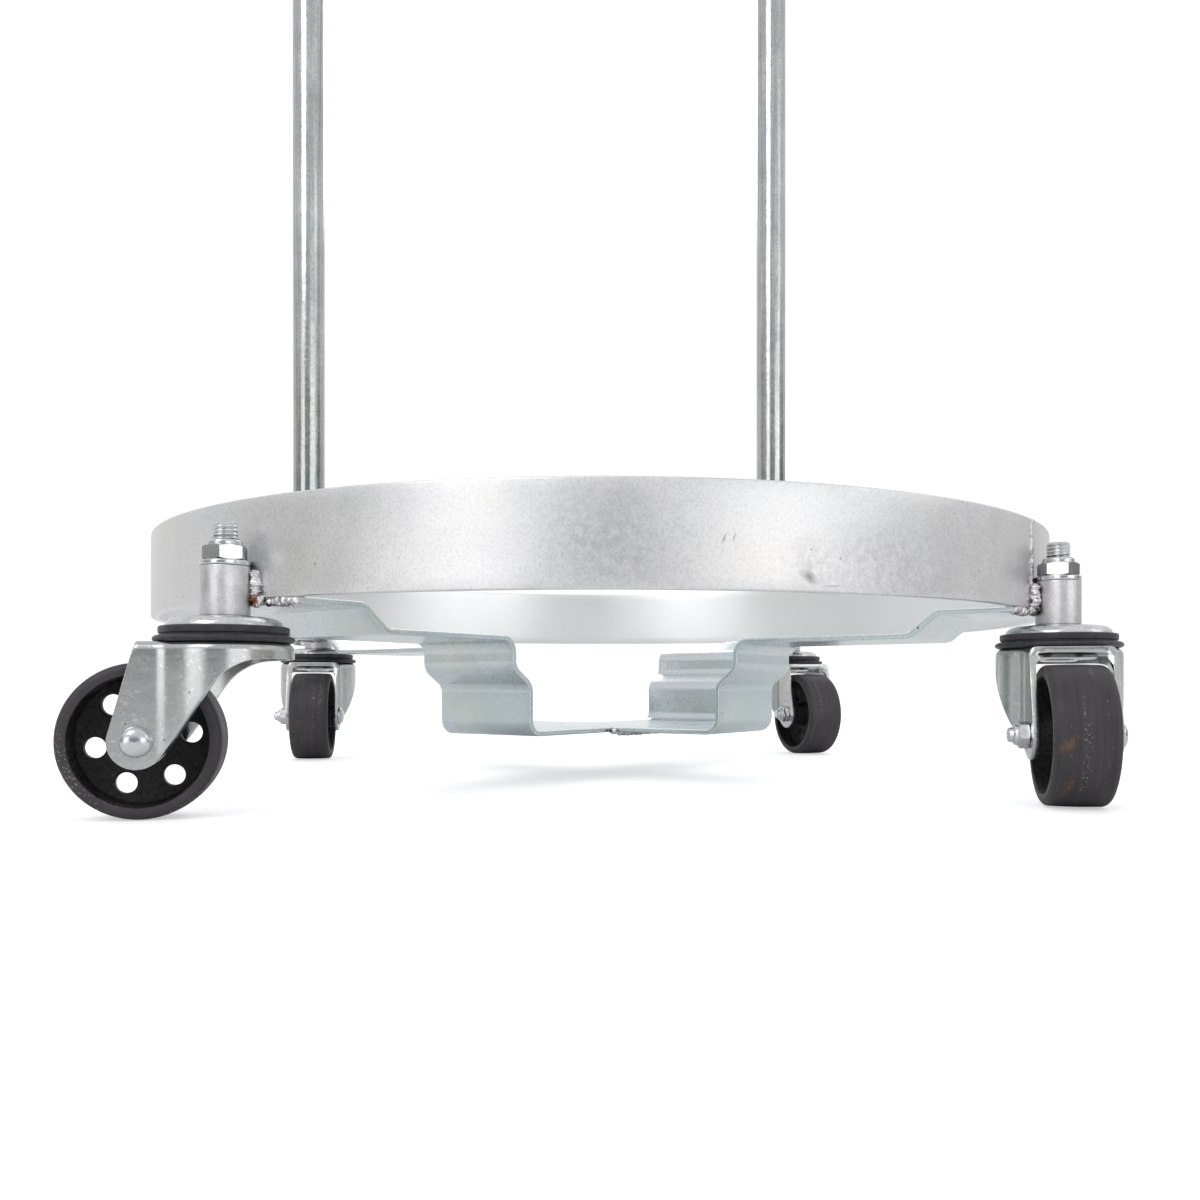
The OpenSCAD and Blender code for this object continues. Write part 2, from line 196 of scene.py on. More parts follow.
class Shader(Nodes):
    """A principled material built from procedural nodes on object coordinates."""

    def __init__(self, name, metallic=0.0, **sockets):
        self.mat = bpy.data.materials.new(name)
        self.mat.use_nodes = True
        super().__init__(self.mat.node_tree)
        self.bsdf = self.node("ShaderNodeBsdfPrincipled")
        out = self.node("ShaderNodeOutputMaterial")
        self.link(self.bsdf.outputs[0], out.inputs[0])
        self.coord = self.node("ShaderNodeTexCoord").outputs["Object"]
        self.bsdf.inputs["Metallic"].default_value = metallic
        for socket, value in sockets.items():
            self.bsdf.inputs[socket.replace("_", " ")].default_value = value

    def place(self, stretch=(1, 1, 1), shift=(0, 0, 0)):
        m = self.node("ShaderNodeMapping")
        self.link(self.coord, m.inputs["Vector"])
        m.inputs["Scale"].default_value = stretch
        m.inputs["Location"].default_value = shift
        return m.outputs[0]

    def noise(self, scale, detail=3.0, rough=0.55, stretch=(1, 1, 1), shift=(0, 0, 0), twist=0.0):
        n = self.node("ShaderNodeTexNoise")
        self.link(self.place(stretch, shift), n.inputs["Vector"])
        n.inputs["Scale"].default_value = scale
        n.inputs["Detail"].default_value = detail
        n.inputs["Roughness"].default_value = rough
        n.inputs["Distortion"].default_value = twist
        return n.outputs["Fac"]

    def cells(self, scale, shift):
        """Distance to the nearest of many scattered points."""
        v = self.node("ShaderNodeTexVoronoi")
        self.link(self.place(shift=shift), v.inputs["Vector"])
        v.inputs["Scale"].default_value = scale
        return v.outputs["Distance"]

    def bump(self, height, strength, distance, under=None):
        b = self.node("ShaderNodeBump")
        self.put(b.inputs["Height"], height)
        b.inputs["Strength"].default_value = strength
        b.inputs["Distance"].default_value = distance
        if under is not None:
            self.link(under, b.inputs["Normal"])
        return b.outputs[0]

    def painted_crevice_shade(self, reach, amount):
        """Painted shade: the given amount in grooves and corners, found by ambient occlusion, and 0 on open
        surface; reach is in metres.
        """
        shade = self.node("ShaderNodeAmbientOcclusion")
        shade.samples = 8
        shade.inputs["Distance"].default_value = reach
        return self.ramp(shade.outputs["AO"], (0.30, amount), (0.78, 0.0))

    def mark(self, centre, half, turn=(0, 0, 0), soft=1.0):
        """1 at a place on the surface, falling to 0 at the edge of an ellipsoid, all in metres."""
        m = self.node("ShaderNodeMapping")
        m.vector_type = "TEXTURE"
        self.link(self.coord, m.inputs["Vector"])
        m.inputs["Location"].default_value = centre
        m.inputs["Rotation"].default_value = turn
        m.inputs["Scale"].default_value = half
        d = self.node("ShaderNodeVectorMath")
        d.operation = "LENGTH"
        self.link(m.outputs[0], d.inputs[0])
        return self.ramp(d.outputs["Value"], (1 - soft, 1.0), (1.0, 0.0))

    def finish(self, colour, rough, normal=None):
        self.put(self.bsdf.inputs["Base Color"], colour)
        self.put(self.bsdf.inputs["Roughness"], rough)
        if normal is not None:
            self.link(normal, self.bsdf.inputs["Normal"])
        return self.mat


def zinc(name, light, dark, rough, tints=(), cloud=9.0, grain=700.0, mottle=0.22, speck=0.5, streak=None,
         metallic=0.95, wave=0.25, tooth=0.10, fleck=0.0, groove_shade=0.0):
    """Zinc plate: soft clouds of grey, faint tints, fine grain, bright flecks, a few dark pin specks and
    painted shade in the grooves. Gives the shader, its colour, its roughness and its normal."""
    s = Shader(name, metallic)
    clouds = s.noise(cloud, 5, 0.62, twist=0.6)
    colour = s.ramp(clouds, (0.32, dark), (0.66, light))
    blotch = s.noise(cloud * 6, 4, 0.65, shift=(3, 1, 2), twist=0.3)
    colour = s.mix(s.ramp(blotch, (0.35, 0.28), (0.6, 0.0)), colour, dark)
    for k, (tint, scale, amount) in enumerate(tints):
        mask = s.ramp(s.noise(scale, 3, 0.5, shift=(5.0 * k + 2, 3, 7)), (0.5, 0.0), (0.7, amount))
        colour = s.mix(mask, colour, tint)
    if streak:
        lines = s.noise(1.0, 4, 0.6, stretch=streak)
        colour = s.mix(s.ramp(lines, (0.38, 0.45), (0.62, 0.0)), colour, tuple(0.62 * c for c in dark))
    fine = s.noise(grain, 3, 0.7)
    colour = s.mix(s.ramp(fine, (0.35, mottle), (0.55, 0.0)), colour, tuple(0.6 * c for c in dark))
    bright = s.ramp(s.noise(480, 3, 0.6, shift=(7, 7, 2)), (0.58, 0.0), (0.68, fleck))
    colour = s.mix(bright, colour, (0.97, 0.97, 0.97))
    rare = s.ramp(s.noise(90, 1, 0.5, shift=(9, 9, 1)), (0.62, 0.0), (0.64, speck))
    pin = s.ramp(s.cells(140, (1, 2, 3)), (0.06, 1.0), (0.12, 0.0))
    colour = s.mix(s.calc("MULTIPLY", pin, rare), colour, (0.10, 0.09, 0.08))
    # Painted shade: ambient occlusion darkens grooves and corners towards near black
    if groove_shade:
        colour = s.mix(s.painted_crevice_shade(0.0022, groove_shade), colour, (0.06, 0.058, 0.055))
    rough_map = s.ramp(s.calc("ADD", s.calc("MULTIPLY", clouds, 0.5), s.calc("MULTIPLY", fine, 0.5)),
                       (0.3, rough - 0.06), (0.7, rough + 0.08))
    normal = s.bump(fine, tooth, 0.0003)
    normal = s.bump(s.noise(cloud * 2.5, 3, 0.5, shift=(4, 4, 4)), wave, 0.0015, normal)
    return s, colour, rough_map, normal


def ring_material():
    """Matt mottled plate, lighter inside, with bluish clouds, two short scratches and a smudge."""
    s, colour, rough, normal = zinc("ring_zinc", (0.90, 0.90, 0.895), (0.74, 0.745, 0.755), 0.38,
                                    tints=(((0.80, 0.75, 0.82), 5.0, 0.25), ((0.87, 0.84, 0.76), 11.0, 0.25),
                                           ((0.74, 0.82, 0.87), 8.0, 0.25)),
                                    grain=760, mottle=0.30, speck=0.5, wave=0.12)
    inside = s.mark((0, 0, 0), (0.3025, 0.3025, 1.0), soft=0.006)
    colour = s.mix(s.calc("MULTIPLY", inside, 0.7), colour, (0.97, 0.985, 0.98))
    coarse = s.ramp(s.noise(260, 4, 0.75, shift=(2, 8, 1)), (0.40, 0.85), (0.60, 0.0))
    clouds = (((-0.050, -0.301, 0.020), (0.034, 0.034, 0.030), (0.36, 0.40, 0.44), 0.55),
              ((0.087, -0.292, 0.014), (0.060, 0.060, 0.024), (0.40, 0.38, 0.44), 0.50),
              ((0.049, -0.301, 0.010), (0.016, 0.016, 0.018), (0.40, 0.38, 0.40), 0.45))
    for centre, half, tint, amount in clouds:
        spread = s.calc("MULTIPLY", s.mark(centre, half), coarse)
        colour = s.mix(s.calc("MULTIPLY", spread, amount), colour, tint)
    smudge = s.mark((0.0485, -0.3012, 0.0068), (0.006, 0.006, 0.0032), (0, 0.5, 0))
    colour = s.mix(s.calc("MULTIPLY", smudge, 0.75), colour, (0.13, 0.12, 0.13))
    scratches = (((0.0067, -0.3049, 0.0232), (0.0006, 0.004, 0.0032), (0, 0.42, 0), 0.75),
                 ((0.0115, -0.3048, 0.0240), (0.0006, 0.004, 0.0030), (0, 0.26, 0), 0.60),
                 ((0.0605, -0.2989, 0.0031), (0.009, 0.006, 0.0004), (0, -0.02, 0), 0.55))
    for centre, half, turn, amount in scratches:
        line = s.calc("MULTIPLY", s.mark(centre, half, turn, 0.8), amount)
        colour = s.mix(line, colour, (0.16, 0.15, 0.16))
    return s.finish(colour, rough, normal)


def boss_material():
    # Painted shade darkens the boss's grooves and corners, such as the seam below the washer
    return Shader.finish(*zinc("boss_zinc", (0.80, 0.795, 0.81), (0.60, 0.595, 0.62), 0.38, cloud=60.0,
                               grain=900, mottle=0.35, speck=0.4, wave=0.1, groove_shade=0.6))


def strap_material():
    return Shader.finish(*zinc("strap_zinc", (0.71, 0.765, 0.78), (0.585, 0.655, 0.675), 0.25,
                               tints=(((0.57, 0.69, 0.78), 12.0, 0.5), ((0.80, 0.70, 0.73), 17.0, 0.25),
                                      ((0.80, 0.75, 0.59), 23.0, 0.25), ((0.58, 0.73, 0.68), 15.0, 0.28)),
                               cloud=14.0, mottle=0.04, speck=0.9, wave=0.16, tooth=0.03))


def tube_material():
    return Shader.finish(*zinc("galvanised_tube", (0.68, 0.69, 0.67), (0.46, 0.49, 0.49), 0.16,
                               tints=(((0.66, 0.69, 0.56), 9.0, 0.50), ((0.57, 0.64, 0.74), 14.0, 0.40)),
                               cloud=20.0, grain=420, mottle=0.35, streak=(330, 330, 9), metallic=1.0,
                               wave=0.3))


def caster_material():
    return Shader.finish(*zinc("caster_zinc", (0.60, 0.61, 0.605), (0.45, 0.47, 0.475), 0.21,
                               tints=(((0.54, 0.58, 0.63), 40.0, 0.35), ((0.63, 0.645, 0.55), 18.0, 0.45)),
                               cloud=30.0, grain=620, mottle=0.12, speck=0.6, wave=0.07, tooth=0.05,
                               fleck=0.35))


def fastener_material():
    # Painted shade darkens the thread grooves and the corners of washers and nuts
    return Shader.finish(*zinc("fastener_zinc", (0.84, 0.84, 0.84), (0.55, 0.57, 0.59), 0.15,
                               tints=(((0.70, 0.72, 0.80), 90.0, 0.4),), cloud=90.0, grain=1500, mottle=0.15,
                               metallic=1.0, wave=0.1, groove_shade=0.85))


def weld_material():
    """Bright puddled metal with soot and brown rust, more of them at the feet of the front bosses, and painted
    shade in its grooves and the corners beside it.
    """
    front_foot = [(x, -0.2250, -0.001) for x in (0.2106, -0.2106)]
    foot_size = (0.0035, 0.0035, 0.0035)
    s = Shader("weld", 0.95)
    patch = s.noise(190, 4, 0.7)
    colour = s.ramp(patch, (0.32, (0.34, 0.31, 0.31)), (0.48, (0.70, 0.68, 0.69)), (0.68, (0.90, 0.89, 0.90)))
    soot = s.ramp(s.noise(110, 3, 0.6, shift=(4, 1, 7)), (0.65, 0.0), (0.71, 0.85))
    soot = s.calc("MAXIMUM", soot, s.mark(front_foot[0], foot_size, soft=0.4))
    colour = s.mix(soot, colour, (0.085, 0.065, 0.055))
    rust = s.ramp(s.noise(95, 3, 0.6, shift=(1, 5, 2)), (0.65, 0.0), (0.72, 0.85))
    rust = s.calc("MAXIMUM", rust, s.mark(front_foot[1], foot_size, soft=0.4))
    colour = s.mix(rust, colour, (0.26, 0.085, 0.035))
    rough = s.ramp(s.noise(400, 3, 0.6), (0.35, 0.12), (0.7, 0.34))
    # Painted shade: ambient occlusion darkens the grooves and corners of the beads
    colour = s.mix(s.painted_crevice_shade(0.003, 0.7), colour, (0.07, 0.06, 0.055))
    normal = s.bump(s.noise(420, 4, 0.65), 0.55, 0.0007)
    return s.finish(colour, rough, normal)


def seal_material():
    s = Shader("seal_rubber", Specular_IOR_Level=0.45)
    dust = s.noise(300, 4, 0.6)
    colour = s.ramp(dust, (0.35, (0.020, 0.020, 0.022)), (0.72, (0.044, 0.043, 0.047)))
    rough = s.ramp(s.noise(90, 3, 0.5), (0.3, 0.34), (0.7, 0.50))
    return s.finish(colour, rough, s.bump(s.noise(900, 3, 0.6), 0.15, 0.0002))


def nylon_material():
    s = Shader("nylon")
    colour = s.ramp(s.noise(300, 3, 0.5), (0.3, (0.55, 0.56, 0.52)), (0.7, (0.72, 0.72, 0.68)))
    return s.finish(colour, s.ramp(s.noise(200, 2, 0.5), (0.3, 0.4), (0.7, 0.6)))


def tread_material(corner, seed, rusty):
    """Machined iron: fine turned lines round the wheel, pale nicks and light rust. The axle is local Y."""
    s = Shader("wheel_tread_" + corner, 0.2, Specular_IOR_Level=0.4)
    lines = s.noise(1.0, 3, 0.6, stretch=(10, 1100, 10), shift=(seed, 0, seed))
    colour = s.ramp(lines, (0.30, (0.034, 0.031, 0.034)), (0.72, (0.056, 0.052, 0.057)))
    broad = s.noise(45, 4, 0.6, stretch=(1, 2.5, 1), shift=(3 + seed, 0, 1))
    colour = s.mix(s.ramp(broad, (0.4, 0.0), (0.7, 0.5)), colour, (0.076, 0.071, 0.078))
    band = s.ramp(s.noise(1.0, 2, 0.5, stretch=(9, 190, 9), shift=(2, 5 + seed, 8)), (0.56, 0.0), (0.63, 1.0))
    nick = s.ramp(s.noise(1300, 2, 0.5, stretch=(0.6, 1, 0.6)), (0.60, 0.0), (0.68, 0.8))
    colour = s.mix(s.calc("MULTIPLY", band, nick), colour, (0.36, 0.34, 0.31))
    grit = s.ramp(s.noise(420, 3, 0.7, shift=(6, 2, 2)), (0.42, 0.0), (0.6, 1.0))
    rust = s.ramp(s.noise(42, 4, 0.6, stretch=(1, 1.6, 1), shift=(1, 7 + seed, 2)), (0.63, 0.0), (0.72, 0.5))
    if rusty:
        stains = (((0.037, -0.0095, -0.003), (0.007, 0.0085, 0.0034), 0.7),
                  ((0.0275, -0.0085, -0.0255), (0.010, 0.0030, 0.011), -0.35))
        for centre, half, tilt in stains:
            rust = s.calc("MAXIMUM", rust, s.mark(centre, half, (tilt, 0, 0)))
    colour = s.mix(s.calc("MULTIPLY", rust, grit), colour, (0.17, 0.085, 0.045))
    rough = s.ramp(broad, (0.3, 0.40), (0.7, 0.56))
    normal = s.bump(lines, 0.22, 0.0003)
    return s.finish(colour, rough, s.bump(nick, 0.2, 0.0002, normal))


def cast_material():
    """Black cast iron with a rough grain that glints."""
    s = Shader("wheel_cast", Specular_IOR_Level=0.4)
    lumps = s.noise(380, 5, 0.7)
    colour = s.ramp(lumps, (0.4, 0.006), (0.64, (0.024, 0.024, 0.025)), (0.76, 0.13))
    rough = s.ramp(lumps, (0.35, 0.24), (0.7, 0.46))
    return s.finish(colour, rough, s.bump(lumps, 1.0, 0.0016))


def floor_material():
    """Pale and matt; it glows a little towards the camera only, so that it shows as white."""
    s = Shader("floor", Specular_IOR_Level=0.15)
    s.bsdf.inputs["Emission Color"].default_value = (1, 1, 1, 1)
    seen = s.node("ShaderNodeLightPath").outputs["Is Camera Ray"]
    s.link(s.calc("MULTIPLY", seen, 0.48), s.bsdf.inputs["Emission Strength"])
    colour = s.ramp(s.noise(3, 3, 0.5), (0.3, 0.84), (0.7, 0.86))
    return s.finish(colour, 0.6)


MATERIALS = {
    "ring_zinc": ring_material(),
    "strap_zinc": strap_material(),
    "galvanised_tube": tube_material(),
    "caster_zinc": caster_material(),
    "fastener_zinc": fastener_material(),
    "weld": weld_material(),
    "seal_rubber": seal_material(),
    "nylon": nylon_material(),
}
TREADS = {c: tread_material(c, 3.0 * k, c == "front_right") for k, c in enumerate(CORNERS)}
CAST = cast_material()
BOSS = boss_material()


# ---- mesh tools ----

def piece(name, verts, faces, slot, body, *nodes, place=None, merge=True, smooth_deg=35.0, material=None):
    """A mesh piece in millimetres that rides on a body and may stand for CAD nodes."""
    mesh = bpy.data.meshes.new(name)
    mesh.from_pydata([Vector(v) * MM for v in verts], [], faces)
    bm = bmesh.new()
    bm.from_mesh(mesh)
    if merge:
        bmesh.ops.remove_doubles(bm, verts=bm.verts, dist=0.002 * MM)
        bmesh.ops.dissolve_degenerate(bm, edges=bm.edges, dist=0.001 * MM)
    bmesh.ops.recalc_face_normals(bm, faces=bm.faces)
    bm.to_mesh(mesh)
    bm.free()
    mesh.shade_smooth()
    mesh.set_sharp_from_angle(angle=math.radians(smooth_deg))
    mesh.materials.append(material or MATERIALS[slot])
    obj = bpy.data.objects.new(name, mesh)
    bpy.context.scene.collection.objects.link(obj)
    if place is not None:
        obj.matrix_world = place
    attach(obj, body)
    if nodes:
        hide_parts(*nodes)
    return obj


def about_z(deg):
    return Matrix.Rotation(math.radians(deg), 4, "Z")


def on_stem(corner, turn):
    """A placing matrix on a corner's stem, turned by some degrees about it."""
    a = math.radians(STEM_ANGLE[corner])
    x, y = STEM_CIRCLE * math.cos(a), STEM_CIRCLE * math.sin(a)
    return Matrix.Translation(Vector((x, y, 0)) * MM) @ about_z(turn)


def stem_place(corner):
    """Local X points away from the ring's axis."""
    return on_stem(corner, STEM_ANGLE[corner])


def caster_place(corner):
    """Local X points from the stem to the axle: the resting swivel angle follows from the roll axis."""
    axis = next(j["axis"] for j in frame["joints"] if j["name"] == "roll_" + corner)
    return on_stem(corner, math.degrees(math.atan2(-axis[0], axis[1])))


def axle_place(corner):
    return caster_place(corner) @ Matrix.Translation(Vector((TRAIL, 0, AXLE_Z)) * MM)


def lathe(profile, segments=64, closed=True, along="Z"):
    """Turned solid from (radius, height) points; a closed profile makes a ring."""
    verts, faces = [], []
    n = len(profile)
    for k in range(segments):
        a = 2 * math.pi * k / segments
        for r, h in profile:
            p = (r * math.cos(a), r * math.sin(a), h)
            verts.append(p if along == "Z" else (p[1], p[2], p[0]))
    spans = n if closed else n - 1
    for k in range(segments):
        b = (k + 1) % segments
        for i in range(spans):
            j = (i + 1) % n
            faces.append((k * n + i, b * n + i, b * n + j, k * n + j))
    return verts, faces


def rounded(points, r, steps=4):
    """Rounds every corner of a closed outline with radius r, or less where sides are short."""
    out = []
    n = len(points)
    for i in range(n):
        a, b, c = Vector(points[i - 1]), Vector(points[i]), Vector(points[(i + 1) % n])
        u, v = (a - b), (c - b)
        if u.length < 1e-6 or v.length < 1e-6:
            continue
        angle = u.angle(v)
        if angle > math.radians(172):
            out.append(tuple(b))
            continue
        cut = min(r / math.tan(angle / 2), 0.45 * u.length, 0.45 * v.length)
        p, q = b + u.normalized() * cut, b + v.normalized() * cut
        for k in range(steps + 1):
            t = k / steps
            out.append(tuple(p * (1 - t) ** 2 + b * 2 * t * (1 - t) + q * t * t))
    return out


def split_sides(outline):
    """Splits a closed outline's long sides."""
    long_side, steps = 10, 8
    out = []
    for i, p in enumerate(outline):
        q = outline[(i + 1) % len(outline)]
        n = steps if math.dist(p, q) > long_side else 1
        out += [(p[0] + (q[0] - p[0]) * k / n, p[1] + (q[1] - p[1]) * k / n) for k in range(n)]
    return out


def join(*parts):
    verts, faces = [], []
    for v, f in parts:
        base = len(verts)
        verts += v
        faces += [tuple(base + i for i in face) for face in f]
    return verts, faces


def shifted(part, dx=0.0, dy=0.0, dz=0.0):
    verts, faces = part
    return [(v[0] + dx, v[1] + dy, v[2] + dz) for v in verts], faces


def turned(part, matrix):
    verts, faces = part
    return [tuple(matrix @ Vector(v)) for v in verts], faces


def placed(part, matrix):
    """Moves millimetre points by a placing matrix, which is in metres."""
    verts, faces = part
    return [tuple((matrix @ (Vector(v) * MM)) / MM) for v in verts], faces


def skin(rings, sides, wrap=False):
    """Faces between rings of points, in order; wrap joins the last ring to the first."""
    faces = []
    for k in range(rings if wrap else rings - 1):
        k2 = (k + 1) % rings
        for i in range(sides):
            j = (i + 1) % sides
            faces.append((k * sides + i, k * sides + j, k2 * sides + j, k2 * sides + i))
    return faces


def end_faces(rings, sides):
    """The faces that close the first and the last ring."""
    return [tuple(range(sides))[::-1], tuple((rings - 1) * sides + i for i in range(sides))]


def sweep(path, section, frames):
    """Sections placed along a path: frames gives the section's two directions at each point."""
    verts = [tuple(Vector(p) + u * a + v * b) for p, (u, v) in zip(path, frames) for a, b in section]
    return verts, skin(len(path), len(section))


def weld_bead(a, b, r, ripple=1.5, seed=0.0):
    """A lumpy weld bead from a to b, made of overlapping puddles."""
    a, b = Vector(a), Vector(b)
    d = (b - a).normalized()
    u = d.orthogonal().normalized()
    v = d.cross(u)
    length = (b - a).length + 2 * r
    rings = max(12, int(length / 0.4))
    sides = 22
    verts = []
    for k in range(rings + 1):
        t = k / rings
        along = a - d * r + d * length * t
        end = min(t * length / r, (1 - t) * length / r, 1.0)
        round_end = math.sqrt(max(0.0, 1 - (1 - end) ** 2))
        puddle = 1 + 0.10 * abs(math.sin(math.pi * t * length / ripple))
        for i in range(sides):
            w = 2 * math.pi * i / sides
            out = u * math.cos(w) + v * math.sin(w)
            q = along + out * r + Vector((seed, 7, 3))
            lump = 0.95 + 0.34 * noise.noise(q * 0.36) + 0.20 * noise.noise(q * 0.95)
            lump += 0.08 * noise.noise(q * 2.3)
            verts.append(tuple(along + out * (r * round_end * puddle * lump)))
    return verts, skin(rings + 1, sides)


def bead_piece(name, node, *beads):
    """One piece made of beads that overlap without being merged."""
    verts, faces = join(*beads)
    piece(name, verts, faces, "weld", "frame", node, merge=False, smooth_deg=60)


def spatter(x, y, z, r):
    """A bead of spatter stuck to the steel."""
    angles = [math.pi * (k / 6 - 0.5) for k in range(7)]
    profile = [(max(0.01, r * math.cos(w)), r * math.sin(w)) for w in angles]
    return shifted(lathe(profile, 10, closed=False), x, y, z)


def thread(r, z0, z1):
    """A screw thread with rounded crests and a chamfered top."""
    sides, per_pitch = 40, 8
    rings = int((z1 - z0) / THREAD_PITCH * per_pitch)
    verts = []
    for k in range(rings + 1):
        z = z0 + (z1 - z0) * k / rings
        for i in range(sides):
            w = i / sides
            phase = ((z - z0) / THREAD_PITCH - w) % 1.0
            cut = THREAD_DEPTH * (0.5 + 0.5 * math.cos(2 * math.pi * phase)) ** 1.3
            limit = r - 1.1 + max(0.0, (z1 - z)) * 0.9
            rr = min(r - cut, limit)
            verts.append((rr * math.cos(2 * math.pi * w), rr * math.sin(2 * math.pi * w), z))
    return verts, skin(rings + 1, sides) + end_faces(rings + 1, sides)


def hex_nut(af, hex_h, collar, bore, insert):
    """A lock nut: hexagon with chamfered corners, and a collar rolled over its insert."""
    sides = 96
    half = af / 2
    corner = half / math.cos(math.pi / 6)
    flat = half - 0.15          # radius to which the chamfers cut the corners down
    chamfer = (corner - half) * 0.62
    roll_r = 1.6
    steps = [k / 5 for k in range(6)]
    levels = [(chamfer * t, flat + (corner - flat) * t) for t in steps]
    levels += [(hex_h - chamfer * (1 - t), corner - (corner - flat) * t) for t in steps]
    verts = []

    def ring(radius_at, z):
        for i in range(sides):
            w = 2 * math.pi * i / sides
            r = radius_at(w)
            verts.append((r * math.cos(w), r * math.sin(w), z))

    def hex_r(w):
        return half / math.cos((w + math.pi / 6) % (math.pi / 3) - math.pi / 6)

    ring(lambda w: bore, 0)
    for z, limit in levels:
        ring(lambda w, limit=limit: min(hex_r(w), limit), z)
    for r, z in ((half - 0.9, hex_h + 0.05), (half - 1.0, hex_h + 0.5 * collar)):
        ring(lambda w, r=r: r, z)
    for k in range(5):
        w0 = math.pi / 2 * k / 4
        r = half - 1.0 - roll_r + roll_r * math.cos(w0)
        ring(lambda w, r=r: r, hex_h + 0.5 * collar * (1 + math.sin(w0)))
    ring(lambda w: insert, hex_h + collar - 0.15)
    ring(lambda w: insert, hex_h)
    ring(lambda w: bore, hex_h - 0.4)
    return verts, skin(len(verts) // sides, sides, wrap=True)


# ---- ring and straps ----

def ring_band():
    """Rolled flat bar: rounded edges and the slight waviness of a hand-bent ring."""
    wave = 0.25
    bar = [(RING_R - RING_T, 0), (RING_R, 0), (RING_R, RING_H), (RING_R - RING_T, RING_H)]
    verts, faces = lathe(split_sides(rounded(bar, 0.9, 3)), 360)
    wavy = []
    for x, y, z in verts:
        a = math.atan2(y, x)
        n = noise.noise(Vector((math.cos(a) * 3, math.sin(a) * 3, z / 90)))
        f = 1 + wave * n / RING_R
        wavy.append((x * f, y * f, z))
    piece("ring", wavy, faces, "ring_zinc", "frame", "ring_band")


def strap_stations(r, step):
    """The strap's top line, as (distance from the ring's axis, height)."""
    return [(STRAP_END, 0), (SHELF_IN, 0), (LEDGE_R, LEDGE_Z), (r + step, LEDGE_Z), (r + step, STEP_TOP),
            (r, STEP_FOOT), (r, -RECESS), (0, -RECESS)]


def bend_path(p):
    """Bends each corner of the top line; outer bends are larger by the strap's thickness."""
    steps = 8
    path = [Vector(p[0])]
    for a, b, c in zip(p, p[1:], p[2:]):
        a, b, c = Vector(a), Vector(b), Vector(c)
        u, v = (b - a).normalized(), (c - b).normalized()
        turn = u.x * v.y - u.y * v.x
        r = BEND_R + STRAP_T if turn > 0 else BEND_R
        angle = math.acos(max(-1, min(1, u.dot(v))))
        side = Vector((-u.y, u.x)) * (1 if turn > 0 else -1)
        start = b - u * r * math.tan(angle / 2)
        mid = start + side * r
        for k in range(steps + 1):
            w = angle * k / steps
            path.append(mid - side * r * math.cos(w) + u * r * math.sin(w))
    path.append(Vector(p[-1]))
    return path


def strap_arm(r, step, inner):
    """One arm of a strap along +X, from the ring to the distance inner from the axis."""
    path = bend_path(strap_stations(r, step))
    path[-1] = Vector((inner, -RECESS))
    fine = [path[0]]
    for p, q in zip(path, path[1:]):
        steps = max(1, int((q - p).length / 12))
        fine += [p + (q - p) * k / steps for k in range(1, steps + 1)]
    frames = []
    for k in range(len(fine)):
        u = (fine[k] - fine[max(0, k - 1)]) if k else (fine[1] - fine[0])
        v = (fine[min(len(fine) - 1, k + 1)] - fine[k]) if k < len(fine) - 1 else u
        d = (u.normalized() + v.normalized()).normalized()
        down = Vector((-d.y, 0, d.x))
        frames.append((Vector((0, 1, 0)), down / max(0.5, d.dot(u.normalized()))))
    half = STRAP_W / 2
    bar = [(-half, 0), (half, 0), (half, STRAP_T), (-half, STRAP_T)]
    section = split_sides(rounded(bar, 0.8, 3))
    verts, faces = sweep([(p.x, 0, p.y) for p in fine], section, frames)
    return verts, faces + end_faces(len(fine), len(section))


def straps():
    """The through strap, and the two half straps that butt against it."""
    arm = strap_arm(THROUGH_R, THROUGH_STEP, 0)
    verts, faces = join(turned(arm, about_z(45)), turned(arm, about_z(225)))
    piece("strap_through", verts, faces, "strap_zinc", "frame", "through_strap")
    arm = strap_arm(HALF_R, HALF_STEP, STRAP_W / 2)
    for corner in ("front_right", "rear_left"):
        verts, faces = turned(arm, about_z(STEM_ANGLE[corner]))
        piece("strap_" + corner, verts, faces, "strap_zinc", "frame", corner + "_strap")


